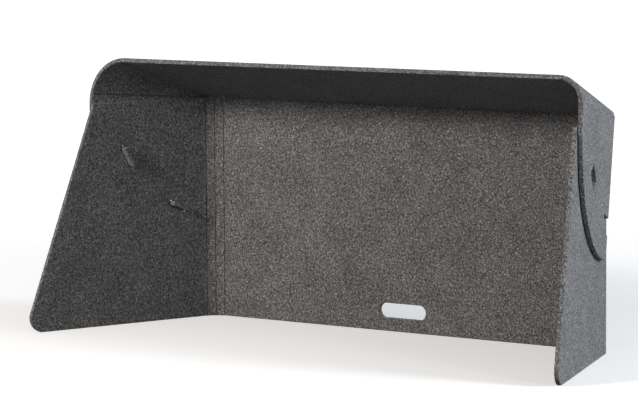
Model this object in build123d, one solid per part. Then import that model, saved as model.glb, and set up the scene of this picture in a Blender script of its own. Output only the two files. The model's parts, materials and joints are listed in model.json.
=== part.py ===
from build123d import *
import math
import os

# A desk-top study carrel folded from one sheet of 10 mm felt board. Each node is one
# panel, fold strip or tab between two scored fold lines.
# Frame: +X along the back panel, +Y to the rear, +Z up. The origin is on the desk, at the
# centre of the footprint. Each side is modelled on the right (+X), and the left is mirrored.

# Driving dimensions, millimetres and degrees
FELT = 10.0  # board thickness
BACK_WIDTH = 1000.0  # between the two outermost scored lines on the back panel
BACK_HEIGHT = 510.0  # from the desk to the hood's fold line
WING_SPLAY = 19.2  # each wing opens outward by this from square to the back
STRIP_WIDTH = 21.0  # spacing of the three scored lines at each rear corner
WING_FOOT = 486.0  # wing length along the desk, before its corner is rounded
WING_TOP = 300.0  # wing length along its top edge
WING_TOE_RADIUS = 33.0  # rounded lower front corner of a wing
HOOD_SLOPE = 17.5  # the hood rises forward by this
HOOD_REACH = 306.1  # from the back panel's inner face forward to the hood's front edge
CORNER_CONES = {"left": 18.0, "right": 8.0}  # half-angles of the conical hood corners
CREASES = (0.05, 0.40, 0.85)  # scored lines around the cone, as fractions of its bend
SCORE_DEPTH = 7.5  # depth of a scored V groove
SCORE_WIDTH = 2.8  # width of a scored V groove at the inner face
FLAP_GAP = 2.0  # air between a wing and the flap that hangs outside it
FLAP_ARC = 260.0  # radius of a flap's lower outline
FLAP_ARC_DROP = 42.0  # the arc's centre is this far below the hood's fold line
FLAP_REAR_MARGIN = 6.0  # the flap's rear edge runs this far behind the corner point
SLOT_WIDTH = 125.0  # cable slot, overall
SLOT_HEIGHT = 33.0
SLOT_CENTRE = 47.0  # height of the slot's middle above the desk
TAB_WIDTH = 46.5
TAB_LENGTH = 38.0
TAB_REACH = 261.0  # from the corner point to a tab's fold line
TAB_ANGLES = {"front": 28.0, "rear": 68.5}  # below the horizontal, about the corner point
TAB_TIP_RADIUS = 3.0
TAB_CLEARANCE = 0.5  # around a tab that lies flat in its own cut-out
SLIT_SIDE_CLEARANCE = 4.5  # wing slit to the tab's two faces
SLIT_END_CLEARANCE = 7.5  # wing slit to the tab's two ends
RELIEF_RADIUS = 3.5  # round hole where a cut meets a fold
EDGE_GAP = 1.0  # cut between a wing's top edge and the hood
HINGE_GAP = 0.2  # between two bodies that meet at a fold


# Derived places
bend_angle = 90.0 - WING_SPLAY
bend_radius = 3 * STRIP_WIDTH / math.radians(bend_angle)
flat_half = BACK_WIDTH / 2 - STRIP_WIDTH / 2
splay = math.radians(WING_SPLAY)
slope = math.radians(HOOD_SLOPE)
wing_x = flat_half + bend_radius * math.cos(splay)
wing_y = bend_radius * (math.sin(splay) - 1)
flap_near = FELT + FLAP_GAP
flap_far = flap_near + FELT

# A wing's own frame: local X forward along the desk, local Y up, local Z inward. Its origin
# is the foot of the inner face, where the corner bend ends.
wing_plane = Plane(
    origin=(wing_x, wing_y, 0),
    x_dir=(math.sin(splay), -math.cos(splay), 0),
    z_dir=(-math.cos(splay), -math.sin(splay), 0),
)
bend_end = STRIP_WIDTH / 2  # the outermost score is this far behind the wing frame's origin

# The corner point: where the inner faces of the back, hood and flap would meet
corner_x = wing_x + (flap_near + wing_y * math.sin(splay)) / math.cos(splay)
corner_point = Vector(corner_x, 0, BACK_HEIGHT)
corner_local = wing_plane.to_local_coords(corner_point)

hood_normal = Vector(0, math.sin(slope), math.cos(slope))
flap_normal = wing_plane.z_dir * -1
hood_plane = Plane(origin=(0, 0, BACK_HEIGHT), x_dir=(1, 0, 0), z_dir=hood_normal)

class HoodCorner:
    """The cone that joins the hood to a flap, tangent to both inner faces."""

    def __init__(self, half_angle):
        ridge = flap_normal.cross(hood_normal).normalized()
        middle = (hood_normal + flap_normal).normalized()
        tilt = math.sin(math.radians(half_angle)) / middle.dot(flap_normal)
        self.half = math.radians(half_angle)
        self.axis = ridge * math.sqrt(1 - tilt**2) - middle * tilt
        self.side = (hood_normal - self.axis * hood_normal.dot(self.axis)).normalized()
        other = (flap_normal - self.axis * flap_normal.dot(self.axis)).normalized()
        self.turn = self.side.get_angle(other)
        self.across = (other - self.side * self.side.dot(other)).normalized()
        self.reach = HOOD_REACH / -self.line(0).Y

    def radial(self, fraction):
        """Unit vector away from the cone's axis, at a fraction of the turn from hood to flap."""
        turn = math.radians(self.turn * fraction)
        return self.side * math.cos(turn) + self.across * math.sin(turn)

    def line(self, fraction):
        """Direction of the straight line on the cone at a fraction of its turn."""
        return self.axis * math.cos(self.half) + self.radial(fraction) * math.sin(self.half)

    def outward(self, fraction):
        """Outward normal of the cone at a fraction of its turn."""
        return self.radial(fraction) * math.cos(self.half) - self.axis * math.sin(self.half)


hood_corners = {side: HoodCorner(angle) for side, angle in CORNER_CONES.items()}


def plate(outline, near, far):
    """A board panel in the wing's frame, between two distances outward of its inner face."""
    return wing_plane * Pos(0, 0, -far) * extrude(outline, amount=far - near)


def polygon(*points):
    return make_face(Polyline(*points, close=True))


# The back panel, the hood and the fold between them
def back_panel():
    board = Pos(0, FELT / 2, BACK_HEIGHT / 2) * Box(2 * flat_half, FELT, BACK_HEIGHT)
    slot = Plane.XZ * Pos(0, SLOT_CENTRE) * SlotOverall(SLOT_WIDTH, SLOT_HEIGHT)
    cutter = extrude(slot, amount=2 * FELT, both=True)
    return board - cutter


def hood_panel():
    """The sloping hood, with straight edges out to where the corners start to bend."""
    rear = hood_plane.to_local_coords(corner_point)
    front = {}
    for side, corner in hood_corners.items():
        front[side] = hood_plane.to_local_coords(corner_point + corner.line(0) * corner.reach)
    outline = polygon(
        (-rear.X, 0), (-front["left"].X, front["left"].Y),
        (front["right"].X, front["right"].Y), (rear.X, 0)
    )
    return hood_plane * extrude(outline, amount=FELT) - relief_holes()


def hood_fold():
    """The rounded skin outside the fold between the back and the hood."""
    turn = math.degrees(math.acos(hood_normal.Y))
    start = Plane(origin=(0, 0, BACK_HEIGHT), x_dir=(0, 1, 0), z_dir=(1, 0, 0))
    rim = CenterArc((0, 0), FELT, 0, turn)
    wedge = make_face([Line((0, 0), rim @ 0), rim, Line(rim @ 1, (0, 0))])
    return start * extrude(wedge, amount=BACK_WIDTH / 2, both=True) - relief_holes()


def relief_holes():
    """Round holes through the fold where it meets the cut at each rear corner."""
    middle_normal = (hood_normal + Vector(0, 1, 0)).normalized()
    holes = []
    for x in (-BACK_WIDTH / 2, BACK_WIDTH / 2):
        place = Plane(origin=(x, 0, BACK_HEIGHT), z_dir=middle_normal)
        holes.append(place * Cylinder(RELIEF_RADIUS, 4 * FELT))
    return holes


# One rear corner: two strips and three scored grooves
def corner_strip(first, last, score):
    """A strip of the rear corner bend, between two fractions of its turn, with its score
    and the score it shares with the other strip."""
    centre = (flat_half, -bend_radius)
    start = 90 - bend_angle * first
    sweep = -bend_angle * (last - first)
    inner = CenterArc(centre, bend_radius, start, sweep)
    outer = CenterArc(centre, bend_radius + FELT, start, sweep)
    ring = make_face([inner, outer, Line(inner @ 0, outer @ 0), Line(inner @ 1, outer @ 1)])
    strip = extrude(ring, amount=BACK_HEIGHT - EDGE_GAP)
    for fraction in (score, 0.5):
        strip -= corner_score(fraction)
    return strip


def corner_score(fraction):
    """The V groove of one vertical score, as a tall wedge open at the inner face."""
    angle = 90 - bend_angle * fraction
    groove = polygon(
        (-FELT, -SCORE_WIDTH / 2 * (1 + FELT / SCORE_DEPTH)),
        (SCORE_DEPTH, 0),
        (-FELT, SCORE_WIDTH / 2 * (1 + FELT / SCORE_DEPTH)),
    )
    wedge = extrude(Pos(bend_radius, 0) * groove, amount=BACK_HEIGHT)
    return Pos(flat_half, -bend_radius) * Rot(0, 0, angle) * wedge


# One wing
def wing_panel():
    """The trapezoid wing with a rounded toe and two slits for the flap's tabs."""
    foot = WING_FOOT - bend_end
    top = WING_TOP - bend_end
    height = BACK_HEIGHT - EDGE_GAP
    outline = polygon((0, 0), (foot, 0), (top, height), (0, height))
    toe = outline.vertices().sort_by_distance((foot, 0, 0))[0]
    outline = fillet(toe, WING_TOE_RADIUS)
    panel = plate(outline, 0, FELT)
    for angle in TAB_ANGLES.values():
        panel -= tab_slit(angle)
    return panel


def tab_place(angle):
    """A tab's frame: origin on its fold line at the flap's outer face, local X along the
    fold, local Y toward the corner point, local Z inward."""
    down = math.radians(angle)
    origin = Vector(
        corner_local.X + TAB_REACH * math.cos(down),
        corner_local.Y - TAB_REACH * math.sin(down),
        -flap_far,
    )
    toward = Vector(-math.cos(down), math.sin(down), 0)
    along = toward.cross(Vector(0, 0, 1))
    local = Plane(origin=origin, x_dir=along, z_dir=(0, 0, 1))
    return wing_plane * local.location


def tab_slit(angle):
    width = TAB_WIDTH + 2 * SLIT_END_CLEARANCE
    depth = FELT + 2 * SLIT_SIDE_CLEARANCE
    cutter = Pos(0, -FELT / 2, flap_far) * Box(width, depth, 4 * FELT)
    return tab_place(angle) * cutter


# One flap with its tabs
def flap_outline(corner):
    """Flap in the wing's frame: from the corner point out, down and round to its rear edge."""
    start = (corner_local.X, corner_local.Y)
    reach = wing_plane.to_local_coords(corner_point + corner.line(1) * corner.reach)
    centre = Vector(reach.X - FLAP_ARC, BACK_HEIGHT - FLAP_ARC_DROP)
    lean = Vector(math.sin(slope), -math.cos(slope))
    back = Vector(-lean.Y, lean.X) * -FLAP_REAR_MARGIN
    rear_top = Vector(*start) + back
    offset = rear_top - centre
    along = offset.dot(lean)
    run = -along + math.sqrt(along**2 - offset.dot(offset) + FLAP_ARC**2)
    rear_foot = rear_top + lean * run
    halfway = (Vector(1, 0) + (rear_foot - centre).normalized()).normalized()
    return make_face(
        [
            Line(start, (reach.X, reach.Y)),
            Line((reach.X, reach.Y), (reach.X, centre.Y)),
            ThreePointArc((reach.X, centre.Y), centre + halfway * FLAP_ARC, rear_foot),
            Line(rear_foot, rear_top),
            Line(rear_top, start),
        ]
    )


def side_flap(corner):
    flap = plate(flap_outline(corner), flap_near, flap_far)
    for angle in TAB_ANGLES.values():
        flap -= tab_cutout(angle)
    return flap


def tab_cutout(angle):
    """The tab's own outline in the flap, with a mitre along the fold."""
    over = FELT / 10
    profile = polygon(
        (0, 0), (-FELT - over, FELT + over), (TAB_LENGTH + TAB_CLEARANCE, FELT + over),
        (TAB_LENGTH + TAB_CLEARANCE, -over), (0, -over),
    )
    width = TAB_WIDTH + 2 * TAB_CLEARANCE
    section = Plane(origin=(-width / 2, 0, 0), x_dir=(0, 1, 0), z_dir=(1, 0, 0))
    return tab_place(angle) * (section * extrude(profile, amount=width))


def locking_tab(angle):
    """A tab folded square to the flap, through the wing's slit."""
    gap = HINGE_GAP * math.sqrt(2)
    profile = polygon(
        (0, gap), (0, TAB_LENGTH), (-FELT, TAB_LENGTH), (-FELT, FELT + gap)
    )
    section = Plane(origin=(-TAB_WIDTH / 2, 0, 0), x_dir=(0, 1, 0), z_dir=(1, 0, 0))
    tab = section * extrude(profile, amount=TAB_WIDTH)
    tips = tab.edges().filter_by(Axis.Y).group_by(Axis.Z)[-1]
    return tab_place(angle) * fillet(tips, TAB_TIP_RADIUS)


# One hood corner: two facets of a cone around the corner point
def corner_facet(corner, first, last):
    """The cone's board between two fractions of its turn."""
    frame = Plane(origin=corner_point, x_dir=corner.radial(first), z_dir=corner.axis)
    profile = Plane.XZ * Rot(0, 0, 90 - math.degrees(corner.half)) * polygon(
        (RELIEF_RADIUS, 0), (corner.reach, 0), (corner.reach, -FELT), (RELIEF_RADIUS, -FELT)
    )
    facet = revolve(profile, Axis.Z, -corner.turn * (last - first))
    return frame * facet


def corner_crease(corner, fraction):
    """The V groove of one crease, from the corner point to the front edge."""
    place = Plane(
        origin=corner_point, x_dir=corner.outward(fraction), z_dir=corner.line(fraction)
    )
    groove = polygon(
        (-FELT, -SCORE_WIDTH / 2 * (1 + FELT / SCORE_DEPTH)),
        (SCORE_DEPTH, 0),
        (-FELT, SCORE_WIDTH / 2 * (1 + FELT / SCORE_DEPTH)),
    )
    return place * extrude(groove, amount=corner.reach * 1.1)


# Assembly, one node to each panel, strip, facet or tab
def side_nodes(corner):
    """Every node of one side by its name without the side, as if it were the right."""
    strip_gap = HINGE_GAP / (3 * STRIP_WIDTH)
    facet_gap = HINGE_GAP / (corner.reach * math.radians(corner.turn) * math.sin(corner.half))
    first, second, third = CREASES
    nodes = {
        "corner_strip_rear": corner_strip(0, 0.5 - strip_gap, 1 / 6),
        "corner_strip_front": corner_strip(0.5, 1, 5 / 6),
        "wing_panel": wing_panel(),
        "hood_corner_upper": corner_facet(corner, 0, second - facet_gap),
        "hood_corner_lower": corner_facet(corner, second, 1),
        "side_flap": side_flap(corner),
    }
    for name, crease in (("hood_corner_upper", first), ("hood_corner_lower", third)):
        nodes[name] = nodes[name] - corner_crease(corner, crease) - corner_crease(corner, second)
    for name, angle in TAB_ANGLES.items():
        nodes[name + "_tab"] = locking_tab(angle)
    return nodes


def all_nodes():
    nodes = {"back_panel": back_panel(), "hood_fold": hood_fold(), "hood_panel": hood_panel()}
    for side, corner in hood_corners.items():
        for name, solid in side_nodes(corner).items():
            placed = mirror(solid, about=Plane.YZ) if side == "left" else solid
            nodes[side + "_" + name] = placed
    return nodes


# The footprint runs from the wings' toes to the back panel's outer face
half_foot_angle = math.atan2(BACK_HEIGHT - EDGE_GAP, WING_FOOT - WING_TOP) / 2
toe_reach = WING_FOOT - bend_end - WING_TOE_RADIUS / math.tan(half_foot_angle) + WING_TOE_RADIUS
front_y = wing_y - toe_reach * math.cos(splay)
centre_y = (front_y + FELT) / 2

os.makedirs("parts", exist_ok=True)
for node, solid in all_nodes().items():
    placed = Pos(0, -centre_y, 0) * solid
    placed.label = node
    export_step(placed, f"parts/{node}.step")
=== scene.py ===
import json
import math

import bmesh
import bpy
from mathutils import Matrix, Vector, noise
from mathutils.geometry import delaunay_2d_cdt

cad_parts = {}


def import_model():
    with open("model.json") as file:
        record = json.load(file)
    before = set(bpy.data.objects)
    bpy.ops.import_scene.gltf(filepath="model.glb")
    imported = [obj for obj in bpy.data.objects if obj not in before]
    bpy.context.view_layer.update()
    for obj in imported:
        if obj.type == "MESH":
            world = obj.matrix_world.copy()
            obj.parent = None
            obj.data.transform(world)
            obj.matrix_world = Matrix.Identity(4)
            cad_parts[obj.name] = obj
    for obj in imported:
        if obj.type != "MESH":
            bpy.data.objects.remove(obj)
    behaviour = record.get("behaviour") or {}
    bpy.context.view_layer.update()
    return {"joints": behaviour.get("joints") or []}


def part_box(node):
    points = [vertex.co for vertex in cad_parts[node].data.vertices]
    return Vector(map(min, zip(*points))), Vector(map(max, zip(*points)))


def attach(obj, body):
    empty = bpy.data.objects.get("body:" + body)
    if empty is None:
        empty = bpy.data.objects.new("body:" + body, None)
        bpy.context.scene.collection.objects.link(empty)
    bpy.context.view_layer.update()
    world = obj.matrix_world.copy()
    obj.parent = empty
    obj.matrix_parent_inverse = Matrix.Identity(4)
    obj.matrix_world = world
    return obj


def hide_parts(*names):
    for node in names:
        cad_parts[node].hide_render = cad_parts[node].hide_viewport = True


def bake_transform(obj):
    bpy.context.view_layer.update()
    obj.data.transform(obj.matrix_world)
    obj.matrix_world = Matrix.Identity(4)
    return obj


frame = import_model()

# A desk-top study carrel folded from one sheet of grey felt board. Each panel is rebuilt here
# as a slab of felt with softened cut edges, in the place its CAD node holds, and the scored
# corners are bent across their joints. Metres throughout, in the frame's own axes.
JOINTS = {joint["name"]: joint for joint in frame["joints"]}

# Sizes that the frame gives
BACK_LOW, BACK_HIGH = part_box("back_panel")
FELT = BACK_HIGH.y - BACK_LOW.y
BACK_HALF = BACK_HIGH.x
INNER_Y = BACK_LOW.y
HOOD_Z = BACK_HIGH.z
FOLD_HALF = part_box("hood_fold")[1].x
WING_TOP_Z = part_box("right_wing_panel")[1].z
SPLAY = math.radians(JOINTS["right_wing_fold"]["range_deg"][1])
BEND_TURN = math.pi / 2 - SPLAY
BEND_RADIUS = (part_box("right_corner_strip_front")[1].x - BACK_HALF) / math.cos(SPLAY) - FELT

# Details of the board that the frame doesn't state
SLOPE = math.radians(17.5)  # the hood rises forward by this
CONE_HALF = {"right": 8.0, "left": 18.0}  # half-angles of the rounded hood corners, degrees
RELIEF = 0.0025  # radius of the hole that ends the hood's fold
FOLD_CREASE = 0.0006  # radius of the fold's inner face
CORNER_MARGIN = math.radians(6)  # flat felt beside the cone that bends with it
FOLD_SPREAD = 0.028  # half the width over which the hood corner's fold turns
NARROWING = 0.09  # nearer than this to the corner point, creases narrow with the board
TOP_CLEARANCE = 0.0002  # air left between the rear corner's top edge and the hood
TOP_FADE = (0.6, 0.95)  # shares of the bend over which its raised top edge comes down

# Grooves cut on the inside, as {share of the bend: depth}, and half their width
SCORES = {1 / 6: 0.0018, 1 / 2: 0.0026, 5 / 6: 0.0060}  # on each rear corner
SCORE_HALF = 0.0010
CREASES = {0.05: 0.0050, 0.40: 0.0045, 0.85: 0.0065}  # on each hood corner
CREASE_HALF = 0.0016
MIDDLE_CREASE = 0.40  # the flap's fold turns about this one

# Cut edges
EDGE_ROUND = 0.0016  # how far a cut edge of the felt has softened
EDGE_FRAY = 0.0003  # how far a cut edge wanders from its line
FRAY_WAVES = 90  # wanderings per metre
EDGE_STEP = 0.004  # spacing of the points along a cut edge
ROUND_TURNS = [math.radians(a) for a in (0, 30, 60, 90)]  # points round a softened edge
NEARLY_STRAIGHT = 0.02  # sine of the turn below which an outline's point is on a line

# Wing, flap, slot and tabs
WING_FOOT = 0.4755
WING_TOP = 0.2895
WING_TOE = 0.033
FLAP_GAP = 0.002  # air between a wing and its flap
FLAP_REAR = 0.006  # the flap's rear edge runs this far behind the corner point
FLAP_DROP = 0.042  # from the hood's fold down to the centre of the flap's round edge
FLAP_ARC = 0.260
SLOT_WIDTH = 0.125
SLOT_HEIGHT = 0.033
SLOT_CENTRE = 0.047
TAB_WIDTH = 0.0465
TAB_LENGTH = 0.038
TAB_ROOT = 0.0003  # the tab starts this far from its fold line
TAB_TIP = 0.003  # radius of the corners at the tab's tip
SLIT_SIDE = 0.0012  # air beside a tab in its slit
SLIT_END = 0.0030  # air at each end of it
CUTOUT_GAP = 0.0005  # air round a tab unfolded into its cut-out


# Places on the right-hand side; the left is its mirror image
def bend_normal(share):
    """Outward direction of the rear corner at a share of its bend."""
    angle = math.pi / 2 - BEND_TURN * share
    return Vector((math.cos(angle), math.sin(angle), 0))


UP = Vector((0, 0, 1))
BEND_CENTRE = Vector((BACK_HALF, INNER_Y - BEND_RADIUS, 0))
WING_OUT = bend_normal(1)
WING_ALONG = Vector((WING_OUT.y, -WING_OUT.x, 0))
WING_ORIGIN = BEND_CENTRE + WING_OUT * BEND_RADIUS
FLAP_NEAR = FELT + FLAP_GAP
corner_offset = FLAP_NEAR - (INNER_Y - WING_ORIGIN.y) * WING_OUT.y
CORNER = Vector((WING_ORIGIN.x + corner_offset / WING_OUT.x, INNER_Y, HOOD_Z))
HOOD_OUT = Vector((0, math.sin(SLOPE), math.cos(SLOPE)))
HOOD_ALONG = Vector((0, -math.cos(SLOPE), math.sin(SLOPE)))
HOOD_FRONT = (INNER_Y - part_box("hood_panel")[0].y) / math.cos(SLOPE)


def wing_flat(point):
    """A point's flat coordinates in the wing's plane: forward and up."""
    offset = point - WING_ORIGIN
    return Vector((offset.dot(WING_ALONG), offset.z))


def hood_flat(point):
    """A point's flat coordinates in the hood's plane: to the right and forward."""
    offset = point - Vector((0, INNER_Y, HOOD_Z))
    return Vector((offset.x, offset.dot(HOOD_ALONG)))


HOOD_CORNER = hood_flat(CORNER)
FLAP_CORNER = wing_flat(CORNER)


class HoodCorner:
    """The rounded corner between hood and flap: a cone around the corner point, tangent to
    both. Angles are those of the flat board, from where the hood starts to bend."""

    def __init__(self, side):
        half_angle = math.radians(CONE_HALF[side])
        ridge = WING_OUT.cross(HOOD_OUT).normalized()
        between = (HOOD_OUT + WING_OUT).normalized()
        tilt = math.sin(half_angle) / between.dot(WING_OUT)
        self.half = half_angle
        self.axis = ridge * math.sqrt(1 - tilt**2) - between * tilt
        self.start = (HOOD_OUT - self.axis * HOOD_OUT.dot(self.axis)).normalized()
        end = (WING_OUT - self.axis * WING_OUT.dot(self.axis)).normalized()
        self.turn = self.start.angle(end)
        self.across = (end - self.start * self.start.dot(end)).normalized()
        self.fan = self.turn * math.sin(half_angle)
        widest = max(abs(corner.x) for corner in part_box(f"{side}_side_flap"))
        outer_face = WING_ORIGIN.x + WING_OUT.x * (FLAP_NEAR + FELT)
        self.flap_front = (widest - outer_face) / WING_ALONG.x

    def radial(self, share):
        turn = self.turn * share
        return self.start * math.cos(turn) + self.across * math.sin(turn)

    def line(self, share):
        """Direction of the straight line on the cone at a share of its bend."""
        return self.axis * math.cos(self.half) + self.radial(share) * math.sin(self.half)

    def tangent(self, share):
        turn = self.turn * share
        return self.across * math.cos(turn) - self.start * math.sin(turn)

    def outward(self, angle):
        radial = self.radial(min(max(angle / self.fan, 0), 1))
        return radial * math.cos(self.half) - self.axis * math.sin(self.half)

    def direction(self, angle):
        """Direction from the corner point along the inner face."""
        if angle < 0:
            side = HOOD_OUT.cross(self.line(0))
            side = side if side.x < 0 else -side
            return self.line(0) * math.cos(angle) - side * math.sin(angle)
        if angle > self.fan:
            side = WING_OUT.cross(self.line(1))
            side = side if side.z < 0 else -side
            beyond = angle - self.fan
            return self.line(1) * math.cos(beyond) + side * math.sin(beyond)
        return self.line(angle / self.fan)

    def reach(self, angle):
        """How far the board runs from the corner point to its front edge."""
        if angle < 0:
            return HOOD_FRONT / self.direction(angle).dot(HOOD_ALONG)
        if angle > self.fan:
            return (self.flap_front - FLAP_CORNER.x) / self.direction(angle).dot(WING_ALONG)
        share = angle / self.fan
        upper = HOOD_FRONT / self.line(0).dot(HOOD_ALONG)
        lower = (self.flap_front - FLAP_CORNER.x) / self.line(1).dot(WING_ALONG)
        return upper + (lower - upper) * share

    def seam(self, angle):
        return CORNER + self.direction(angle) * self.reach(angle)

    def place(self, station, level, depth, is_inner):
        angle, past, groove = station
        share, past_end, _ = level
        reach = RELIEF + share * (self.reach(angle) - RELIEF) + past_end
        angle += past / max(reach, NARROWING)
        groove *= min(1, reach / NARROWING) if is_inner else 0
        return CORNER + self.direction(angle) * reach + self.outward(angle) * (depth + groove)


CORNERS = {side: HoodCorner(side) for side in ("right", "left")}


# Flat outlines are lists of (point, kind of the edge that starts there). A cut edge is
# softened and a little frayed, a whole one is softened but straight, a seam meets the next
# piece, and a mitre and a root are cut at 45 degrees.
def arc(centre, radius, first, last, kind):
    count = max(6, int(abs(last - first) * radius / EDGE_STEP))
    turns = [first + (last - first) * k / count for k in range(count)]
    return [(Vector(centre) + radius * Vector((math.cos(a), math.sin(a))), kind) for a in turns]


def area(outline):
    points = [p for p, _ in outline]
    return sum(a.x * b.y - b.x * a.y for a, b in zip(points, points[1:] + points[:1])) / 2


def turned(outline):
    """The same outline, run the other way."""
    points = [p for p, _ in outline]
    kinds = [kind for _, kind in outline]
    return [(points[-k], kinds[-k - 1]) for k in range(len(points))]


def subdivided(outline):
    out = []
    for (point, kind), (after, _) in zip(outline, outline[1:] + outline[:1]):
        count = max(1, round((after - point).length / EDGE_STEP)) if kind == "cut" else 1
        out += [(point.lerp(after, k / count), kind) for k in range(count)]
    return out


def left_of(direction):
    return Vector((-direction.y, direction.x))


def inset(outline, distances):
    """The outline's points after each edge moves into the felt by its kind's distance."""
    out = []
    for k, (here, kind) in enumerate(outline):
        before, kind_before = outline[k - 1]
        after, _ = outline[(k + 1) % len(outline)]
        arrive = (here - before).normalized()
        leave = (after - here).normalized()
        d_arrive, d_leave = distances[kind_before], distances[kind]
        cross = arrive.x * leave.y - arrive.y * leave.x
        if abs(cross) < NEARLY_STRAIGHT:
            aside = (left_of(arrive) + left_of(leave)).normalized()
            out.append(here + aside * (d_arrive + d_leave) / 2)
        else:
            out.append(here + (leave * d_arrive - arrive * d_leave) / cross)
    return out


def edge_profile():
    """(inset, depth) pairs from the inner face round the softened edge to the outer face."""
    inner = [(EDGE_ROUND * (1 - math.sin(a)), EDGE_ROUND * (1 - math.cos(a))) for a in ROUND_TURNS]
    return inner + [(distance, FELT - depth) for distance, depth in reversed(inner)]


def is_inside(point, polygon):
    hit = False
    for a, b in zip(polygon, polygon[1:] + polygon[:1]):
        if (a.y > point.y) != (b.y > point.y):
            if point.x < a.x + (b.x - a.x) * (point.y - a.y) / (b.y - a.y):
                hit = not hit
    return hit


def cap_triangles(loops):
    """Triangles between the outer loop and its holes, as indices into the joined loops."""
    points, edges = [], []
    for loop in loops:
        start = len(points)
        points += loop
        edges += [(start + k, start + (k + 1) % len(loop)) for k in range(len(loop))]
    where, _, faces, origin, _, _ = delaunay_2d_cdt(points, edges, [], 0, 1e-7)
    kept = []
    for face in faces:
        middle = sum((where[i] for i in face), Vector((0, 0))) / len(face)
        if is_inside(middle, loops[0]) and not any(is_inside(middle, hole) for hole in loops[1:]):
            kept.append([origin[i][0] for i in face])
    return kept


def new_piece(name, verts, faces):
    mesh = bpy.data.meshes.new(name)
    mesh.from_pydata([tuple(v) for v in verts], [], faces)
    work = bmesh.new()
    work.from_mesh(mesh)
    bmesh.ops.recalc_face_normals(work, faces=work.faces)
    work.to_mesh(mesh)
    work.free()
    for polygon in mesh.polygons:
        polygon.use_smooth = True
    mesh.set_sharp_from_angle(angle=math.radians(40))
    piece = bpy.data.objects.new(name, mesh)
    bpy.context.scene.collection.objects.link(piece)
    return piece


def frayed(point, kind, seed):
    """A cut edge's point, moved a little as the fibres left it."""
    if kind != "cut":
        return point
    here = Vector((point.x * FRAY_WAVES, point.y * FRAY_WAVES, seed))
    elsewhere = here + Vector((7, 3, 5))
    return point + EDGE_FRAY * Vector((noise.noise(here), noise.noise(elsewhere)))


def ring_faces(ring, low, high):
    """Quads between two rings of the same loops, whose first vertices are low and high."""
    faces, at = [], 0
    for loop in ring:
        for k in range(len(loop)):
            a, b = at + k, at + (k + 1) % len(loop)
            faces.append((low + a, low + b, high + b, high + a))
        at += len(loop)
    return faces


def slab(name, outline, place, holes=()):
    """A closed slab of felt. place() puts a flat point and a depth from the inner face where
    they belong."""
    loops = [outline if area(outline) > 0 else turned(outline)]
    loops += [turned(hole) if area(hole) > 0 else hole for hole in holes]
    loops = [subdivided(loop) for loop in loops]
    loops = [[(frayed(p, kind, len(name)), kind) for p, kind in loop] for loop in loops]
    verts, faces, rings = [], [], []
    for distance, depth in edge_profile():
        distances = {"cut": distance, "whole": distance, "seam": 0}
        distances |= {"mitre": FELT - depth, "root": depth}
        ring = [inset(loop, distances) for loop in loops]
        rings.append((len(verts), ring))
        verts += [place(p, depth) for loop in ring for p in loop]
    for (low, ring), (high, _) in zip(rings, rings[1:]):
        faces += ring_faces(ring, low, high)
    for start, ring in (rings[0], rings[-1]):
        faces += [tuple(start + i for i in face) for face in cap_triangles(ring)]
    return new_piece(name, verts, faces)


def bent_slab(name, stations, levels, place):
    """A closed slab that bends. Stations run across the bend and levels along it. place()
    puts (station, level, depth, whether on the inner face) where it belongs."""
    verts, faces = [], []
    for level in levels:
        squeeze = level[2]
        verts += [place(station, level, squeeze, True) for station in stations]
        verts += [place(station, level, FELT - squeeze, False) for station in reversed(stations)]
    size = 2 * len(stations)
    last = (len(levels) - 1) * size
    for start in range(0, last, size):
        for k in range(size):
            after = (k + 1) % size
            faces.append((start + k, start + after, start + size + after, start + size + k))
    for start in (0, last):
        for k in range(len(stations) - 1):
            back = start + size - 1 - k
            faces.append((start + k, start + k + 1, back - 1, back))
    return new_piece(name, verts, faces)


def soft_levels(count, top_is_soft=True):
    """(share of the length, metres past it, inset) along a slab, softened at its ends."""
    ends = [(EDGE_ROUND * (1 - math.cos(a)), EDGE_ROUND * (1 - math.sin(a))) for a in ROUND_TURNS]
    first = [(0, distance, squeeze) for distance, squeeze in ends]
    middle = [(k / count, 0, 0) for k in range(1, count)]
    last = [(1, -distance, squeeze) for distance, squeeze in reversed(ends)]
    return first + middle + (last if top_is_soft else [(1, 0, 0)])


def score_stations(shares, scores, clear, half):
    """(share, metres past it, groove depth) across a bend. Each score has three stations, and
    no other stands closer to it than clear."""
    plain = [s for s in shares if all(abs(s - score) > clear for score in scores)]
    found = [(share, 0, 0) for share in plain]
    for score, depth in scores.items():
        found += [(score, -half, 0), (score, 0, depth), (score, half, 0)]
    return sorted(found)


# The middle of the carrel
def back_outline():
    corners = ((-BACK_HALF, 0), (BACK_HALF, 0), (BACK_HALF, HOOD_Z), (-BACK_HALF, HOOD_Z))
    kinds = ("cut", "seam", "seam", "seam")
    return [(Vector(corner), kind) for corner, kind in zip(corners, kinds)]


def slot_outline():
    radius = SLOT_HEIGHT / 2
    reach = SLOT_WIDTH / 2 - radius
    right = arc((reach, SLOT_CENTRE), radius, -math.pi / 2, math.pi / 2, "cut")
    left = arc((-reach, SLOT_CENTRE), radius, math.pi / 2, 1.5 * math.pi, "cut")
    top, foot = SLOT_CENTRE + radius, SLOT_CENTRE - radius
    return right + [(Vector((reach, top)), "cut")] + left + [(Vector((-reach, foot)), "cut")]


def back_place(point, depth):
    return Vector((point.x, INNER_Y + depth, point.y))


def hood_place(point, depth):
    along = HOOD_ALONG * point.y + HOOD_OUT * depth
    return Vector((point.x, INNER_Y, HOOD_Z)) + along


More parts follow.
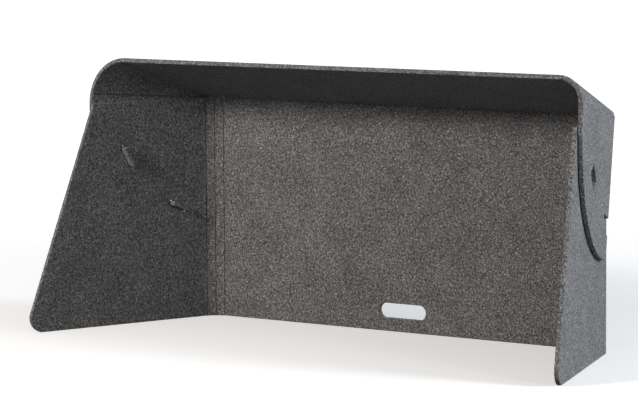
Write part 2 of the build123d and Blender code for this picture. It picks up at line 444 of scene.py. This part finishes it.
def hood_outline():
    """The hood from its fold to its front edge, without the strips that bend at its corners."""
    right_seam = hood_flat(CORNERS["right"].seam(-CORNER_MARGIN))
    left_seam = hood_flat(CORNERS["left"].seam(-CORNER_MARGIN))
    left = arc((-FOLD_HALF, 0), RELIEF, math.pi, 0, "cut")
    right = arc((FOLD_HALF, 0), RELIEF, math.pi, 0, "cut")
    return (
        [(Vector((-HOOD_CORNER.x, 0)), "seam")] + left
        + [(Vector((RELIEF - FOLD_HALF, 0)), "seam")] + right
        + [(Vector((FOLD_HALF + RELIEF, 0)), "seam"), (Vector((HOOD_CORNER.x, 0)), "seam")]
        + [(right_seam, "cut"), (Vector((-left_seam.x, left_seam.y)), "seam")]
    )


def fold_place(station, level, depth, is_inner):
    """The rounded skin of the hood's fold, notched by the relief hole at each end."""
    whole = math.pi / 2 - SLOPE
    turn = whole * station
    radius = max(depth, FOLD_CREASE)
    off_middle = radius * math.sin(turn - whole / 2)
    half = FOLD_HALF - math.sqrt(max(0, RELIEF**2 - off_middle**2))
    share, past, _ = level
    x = half * (2 * share - 1) + past
    return Vector((x, INNER_Y + radius * math.cos(turn), HOOD_Z + radius * math.sin(turn)))


# The corners, on the right
def bend_place(station, level, depth, is_inner):
    """The rear corner: a piece of a cylinder between back and wing."""
    share, past, groove = station
    length = BEND_RADIUS * BEND_TURN
    out = BEND_RADIUS + depth + (groove if is_inner else 0)
    height = level[0] * WING_TOP_Z + level[1]
    point = BEND_CENTRE + bend_normal(share + past / length) * out + UP * height
    if level[0] == 1:
        point.z += top_rise(share, point.y)
    return point


def top_rise(share, y):
    """How far the bend's top edge stands up to the hood, so that no light shows between."""
    gap = HOOD_Z - WING_TOP_Z - TOP_CLEARANCE + max(0, INNER_Y - y) * math.tan(SLOPE)
    first, last = TOP_FADE
    fade = 1 - min(max((share - first) / (last - first), 0), 1)
    return gap * fade


# The wing, flap and tabs, on the right
def wing_place(point, depth):
    return WING_ORIGIN + WING_ALONG * point.x + UP * point.y + WING_OUT * depth


def flap_place(point, depth):
    return wing_place(point, FLAP_NEAR + depth)


def wing_outline():
    lean = math.atan2(WING_TOP_Z, WING_FOOT - WING_TOP)
    centre = (WING_FOOT - WING_TOE / math.tan(lean / 2), WING_TOE)
    toe = arc(centre, WING_TOE, -math.pi / 2, math.pi / 2 - lean, "cut")
    top = [(Vector((WING_TOP, WING_TOP_Z)), "seam"), (Vector((0, WING_TOP_Z)), "seam")]
    return [(Vector((0, 0)), "cut")] + toe + top


def tab_frame(which):
    """A tab's fold line, its direction and the direction from it to the corner point."""
    joint = JOINTS[f"right_{which}_tab_fold"]
    along = -Vector(joint["axis"]).normalized()
    return Vector(joint["pos_m"]), along, along.cross(WING_OUT)


def tab_rectangle(which, half, low, high, kinds):
    """A rectangle in the wing's flat coordinates, set out from a tab's fold line."""
    origin, along, toward = tab_frame(which)
    corners = ((-half, low), (half, low), (half, high), (-half, high))
    return [(wing_flat(origin + along * x + toward * y), kind)
            for (x, y), kind in zip(corners, kinds)]


def tab_slit(which):
    """The slit in the wing that a tab goes through."""
    half = TAB_WIDTH / 2 + SLIT_END
    return tab_rectangle(which, half, -FELT - SLIT_SIDE, SLIT_SIDE, ["cut"] * 4)


def tab_cutout(which):
    """The hole that a tab leaves in the flap, mitred along its fold line."""
    half = TAB_WIDTH / 2 + CUTOUT_GAP
    high = TAB_LENGTH + CUTOUT_GAP
    return tab_rectangle(which, half, 0, high, ["mitre", "cut", "cut", "cut"])


def tab_outline():
    half = TAB_WIDTH / 2
    tip = TAB_LENGTH - TAB_TIP
    right = arc((half - TAB_TIP, tip), TAB_TIP, 0, math.pi / 2, "cut")
    left = arc((TAB_TIP - half, tip), TAB_TIP, math.pi / 2, math.pi, "cut")
    ends = [(Vector((TAB_TIP - half, TAB_LENGTH)), "cut"), (Vector((-half, tip)), "whole")]
    foot = [(Vector((-half, TAB_ROOT)), "root"), (Vector((half, TAB_ROOT)), "whole")]
    return foot + right + ends[:1] + left[1:] + ends[1:]


def tab_place(which):
    """A function that stands a tab square through the wing."""
    origin, along, toward = tab_frame(which)
    return lambda point, depth: origin + along * point.x - WING_OUT * point.y - toward * depth


def meeting(first, along, second, other):
    """Where two lines in the flat meet."""
    gap = second - first
    cross = along.x * other.y - along.y * other.x
    return first + along * (gap.x * other.y - gap.y * other.x) / cross


def rear_notch(edge_point, edge_along):
    """The rear tab's cut-out, which is open where it crosses the flap's rear edge."""
    fold_start, fold_end, far_corner, _ = (point for point, _ in tab_cutout("rear"))
    along = fold_end - fold_start
    low = meeting(fold_end, along, edge_point, edge_along)
    high = meeting(far_corner, along, edge_point, edge_along)
    return [(low, "mitre"), (fold_end, "cut"), (far_corner, "cut"), (high, "cut")]


def flap_outline(corner):
    """The quarter-round flap, without the strip that bends with the hood's corner."""
    seam = wing_flat(corner.seam(corner.fan + CORNER_MARGIN))
    centre = Vector((corner.flap_front - FLAP_ARC, HOOD_Z - FLAP_DROP))
    down = Vector((math.sin(SLOPE), -math.cos(SLOPE)))
    rear_top = FLAP_CORNER - FLAP_REAR * left_of(down)
    offset = rear_top - centre
    run = -offset.dot(down) + math.sqrt(offset.dot(down)**2 - offset.dot(offset) + FLAP_ARC**2)
    rear_foot = rear_top + down * run
    to_foot = rear_foot - centre
    round_edge = arc(centre, FLAP_ARC, 0, math.atan2(to_foot.y, to_foot.x), "cut")
    rear = [(rear_foot, "whole")] + rear_notch(rear_top, down) + [(rear_top, "cut")]
    return [(seam, "cut")] + round_edge + rear + [(FLAP_CORNER, "seam")]


def handed(place, hand):
    """The same place on the left or the right."""
    def mirrored(*where):
        point = place(*where)
        return Vector((hand * point.x, point.y, point.z))
    return mirrored


# Felt: light and dark fibres matted together, in drifts, tufts and single fibres
FELT_SHADES = {
    0.370: (0.028, 0.029, 0.032),
    0.465: (0.102, 0.102, 0.105),
    0.540: (0.210, 0.209, 0.209),
    0.640: (0.520, 0.518, 0.515),
}


def felt_material():
    material = bpy.data.materials.new("grey_felt")
    material.use_nodes = True
    nodes, links = material.node_tree.nodes, material.node_tree.links
    shader = nodes["Principled BSDF"]
    shader.inputs["Roughness"].default_value = 0.95
    shader.inputs["Specular IOR Level"].default_value = 0.15
    shader.inputs["Sheen Weight"].default_value = 0.12
    shader.inputs["Sheen Roughness"].default_value = 0.6
    where = nodes.new("ShaderNodeTexCoord").outputs["Object"]

    def cloud(scale, detail, roughness, distortion):
        node = nodes.new("ShaderNodeTexNoise")
        node.inputs["Scale"].default_value = scale
        node.inputs["Detail"].default_value = detail
        node.inputs["Roughness"].default_value = roughness
        node.inputs["Distortion"].default_value = distortion
        links.new(where, node.inputs["Vector"])
        return node.outputs["Fac"]

    def combine(operation, first, second):
        node = nodes.new("ShaderNodeMath")
        node.operation = operation
        for socket, value in zip(node.inputs, (first, second)):
            if isinstance(value, (int, float)):
                socket.default_value = value
            else:
                links.new(value, socket)
        return node.outputs[0]

    drifts = cloud(14, 2, 0.5, 0.3)
    tufts = cloud(270, 2, 0.55, 0.9)
    fibres = cloud(680, 3, 0.65, 1.6)
    mixed = combine("ADD", combine("MULTIPLY", tufts, 0.62), combine("MULTIPLY", fibres, 0.38))
    mixed = combine("ADD", mixed, combine("MULTIPLY", combine("SUBTRACT", drifts, 0.5), 0.06))
    ramp = nodes.new("ShaderNodeValToRGB")
    while len(ramp.color_ramp.elements) < len(FELT_SHADES):
        ramp.color_ramp.elements.new(0.5)
    for element, (position, colour) in zip(ramp.color_ramp.elements, FELT_SHADES.items()):
        element.position = position
        element.color = (*colour, 1)
    links.new(mixed, ramp.inputs["Fac"])
    links.new(ramp.outputs["Color"], shader.inputs["Base Color"])
    bump = nodes.new("ShaderNodeBump")
    bump.inputs["Strength"].default_value = 0.55
    bump.inputs["Distance"].default_value = 0.0012
    links.new(mixed, bump.inputs["Height"])
    links.new(bump.outputs["Normal"], shader.inputs["Normal"])
    return material


# Setting
VIEWPOINT = (4.1268, -5.7941, 1.0582)
VIEW_TURNS = (-35.867, 6.045, -0.388)  # yaw, pitch and roll, degrees
VIEW_LENS = 185.4


def camera():
    """The photograph's viewpoint, from the right at desk height, with a long lens."""
    yaw, pitch, roll = (math.radians(a) for a in VIEW_TURNS)
    run = math.cos(pitch)
    ahead = Vector((math.sin(yaw) * run, math.cos(yaw) * run, -math.sin(pitch)))
    level = Vector((math.cos(yaw), -math.sin(yaw), 0))
    upright = level.cross(ahead)
    right = level * math.cos(roll) + upright * math.sin(roll)
    up = upright * math.cos(roll) - level * math.sin(roll)
    data = bpy.data.cameras.new("camera")
    data.lens = VIEW_LENS
    data.clip_end = 200
    obj = bpy.data.objects.new("camera", data)
    bpy.context.scene.collection.objects.link(obj)
    rotation = Matrix((right, up, -ahead)).transposed().to_4x4()
    obj.matrix_world = Matrix.Translation(VIEWPOINT) @ rotation
    bpy.context.scene.camera = obj


def soft_light(name, where, target, size, power, colour):
    """A round area light, aimed at a target."""
    data = bpy.data.lights.new(name, "AREA")
    data.shape = "DISK"
    data.size = size
    data.energy = power
    data.color = colour
    obj = bpy.data.objects.new(name, data)
    bpy.context.scene.collection.objects.link(obj)
    ahead = Vector(target) - Vector(where)
    rotation = ahead.to_track_quat("-Z", "Y").to_matrix().to_4x4()
    obj.matrix_world = Matrix.Translation(where) @ rotation


def floor_material():
    """A pale floor that glows more with distance, so that it runs into a white background."""
    material = bpy.data.materials.new("pale_floor")
    material.use_nodes = True
    nodes, links = material.node_tree.nodes, material.node_tree.links
    shader = nodes["Principled BSDF"]
    shader.inputs["Base Color"].default_value = (0.95, 0.95, 0.95, 1)
    shader.inputs["Roughness"].default_value = 0.9
    shader.inputs["Emission Color"].default_value = (1, 1, 1, 1)
    distance = nodes.new("ShaderNodeVectorMath")
    distance.operation = "LENGTH"
    links.new(nodes.new("ShaderNodeTexCoord").outputs["Object"], distance.inputs[0])
    glow = nodes.new("ShaderNodeMapRange")
    glow.inputs["From Min"].default_value = 0.9
    glow.inputs["From Max"].default_value = 4.5
    glow.inputs["To Min"].default_value = 0.29
    glow.inputs["To Max"].default_value = 0.95
    links.new(distance.outputs["Value"], glow.inputs["Value"])
    links.new(glow.outputs["Result"], shader.inputs["Emission Strength"])
    return material


def floor():
    """The floor throws no light back, so that the hood's underside stays dark."""
    half = 60
    corners = [(-half, -half, 0), (half, -half, 0), (half, half, 0), (-half, half, 0)]
    mesh = bpy.data.meshes.new("floor")
    mesh.from_pydata(corners, [], [(0, 1, 2, 3)])
    mesh.materials.append(floor_material())
    obj = bpy.data.objects.new("floor", mesh)
    bpy.context.scene.collection.objects.link(obj)
    obj.visible_diffuse = False


def world():
    """Soft light from above and hardly any from below."""
    studio = bpy.data.worlds.new("studio")
    bpy.context.scene.world = studio
    studio.use_nodes = True
    nodes, links = studio.node_tree.nodes, studio.node_tree.links
    split = nodes.new("ShaderNodeSeparateXYZ")
    links.new(nodes.new("ShaderNodeTexCoord").outputs["Generated"], split.inputs[0])
    height = nodes.new("ShaderNodeMapRange")
    height.inputs["From Min"].default_value = -0.02
    height.inputs["From Max"].default_value = 0.35
    height.inputs["To Min"].default_value = 0.01
    height.inputs["To Max"].default_value = 0.28
    links.new(split.outputs["Z"], height.inputs["Value"])
    links.new(height.outputs["Result"], nodes["Background"].inputs["Strength"])
    nodes["Background"].inputs["Color"].default_value = (0.97, 0.98, 1, 1)


FELT_MATERIAL = felt_material()


def finish_piece(piece, nodes, body=None, blend=None):
    """Give a piece its felt and attach it to the body it rides on. A piece given two bodies to
    bend between only has its place baked into its mesh; nothing here makes it bend.
    """
    piece.data.materials.append(FELT_MATERIAL)
    if blend:
        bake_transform(piece)
    else:
        weigh = piece.modifiers.new("even_faces", "WEIGHTED_NORMAL")
        weigh.keep_sharp = True
        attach(piece, body)
    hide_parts(*nodes)


def middle_pieces():
    back = slab("felt_back", back_outline(), back_place, [slot_outline()])
    finish_piece(back, ["back_panel"], "shell")
    hood = slab("felt_hood", hood_outline(), hood_place)
    finish_piece(hood, ["hood_panel"], "shell")
    fold = bent_slab("felt_hood_fold", [k / 8 for k in range(9)], soft_levels(24), fold_place)
    finish_piece(fold, ["hood_fold"], "shell")


def on_side(point, hand):
    return (hand * point.x, point.y, point.z)


def rear_corner_piece(side, hand):
    shares = [k / 18 for k in range(19)]
    stations = score_stations(shares, SCORES, 0.05, SCORE_HALF)
    levels = soft_levels(16, top_is_soft=False)
    name = f"felt_{side}_rear_corner"
    piece = bent_slab(name, stations, levels, handed(bend_place, hand))
    start = on_side(BEND_CENTRE + bend_normal(0) * BEND_RADIUS, hand)
    end = on_side(BEND_CENTRE + bend_normal(1) * BEND_RADIUS, hand)
    finish_piece(piece, [f"{side}_corner_strip_rear", f"{side}_corner_strip_front"],
                 blend=("shell", f"{side}_wing", start, end))


def hood_corner_piece(side, hand):
    corner = CORNERS[side]
    whole = corner.fan + 2 * CORNER_MARGIN
    angles = sorted([k * whole / 40 - CORNER_MARGIN for k in range(41)] + [0, corner.fan])
    creases = {corner.fan * share: depth for share, depth in CREASES.items()}
    stations = score_stations(angles, creases, 0.02, CREASE_HALF)
    name = f"felt_{side}_hood_corner"
    piece = bent_slab(name, stations, soft_levels(30), handed(corner.place, hand))
    middle = CORNER + corner.line(MIDDLE_CREASE) * HOOD_FRONT / 2
    spread = corner.tangent(MIDDLE_CREASE) * FOLD_SPREAD
    start, end = on_side(middle - spread, hand), on_side(middle + spread, hand)
    finish_piece(piece, [f"{side}_hood_corner_upper", f"{side}_hood_corner_lower"],
                 blend=("shell", f"{side}_flap", start, end))


def side_pieces(side, hand):
    slits = [tab_slit(which) for which in ("front", "rear")]
    wing = slab(f"felt_{side}_wing", wing_outline(), handed(wing_place, hand), slits)
    finish_piece(wing, [f"{side}_wing_panel"], f"{side}_wing")
    outline = flap_outline(CORNERS[side])
    flap = slab(f"felt_{side}_flap", outline, handed(flap_place, hand), [tab_cutout("front")])
    finish_piece(flap, [f"{side}_side_flap"], f"{side}_flap")
    for which in ("front", "rear"):
        tab = slab(f"felt_{side}_{which}_tab", tab_outline(), handed(tab_place(which), hand))
        finish_piece(tab, [f"{side}_{which}_tab"], f"{side}_{which}_tab")


middle_pieces()
for side, hand in (("right", 1), ("left", -1)):
    rear_corner_piece(side, hand)
    hood_corner_piece(side, hand)
    side_pieces(side, hand)

camera()
world()
floor()
soft_light("front_light", where=(-1.25, -3.0, 1.8), target=(0, 0.2, 0.25), size=0.7,
           power=92, colour=(1.0, 0.94, 0.885))
soft_light("right_light", where=(4.2, 0.9, 1.7), target=(0.6, 0, 0.3), size=1.6,
           power=140, colour=(0.88, 0.94, 1.0))
soft_light("fill_light", where=(5.4, -1.8, 1.15), target=(0, 0, 0.3), size=1.2,
           power=52, colour=(0.98, 0.985, 1.0))
bpy.context.scene.view_settings.view_transform = "Standard"
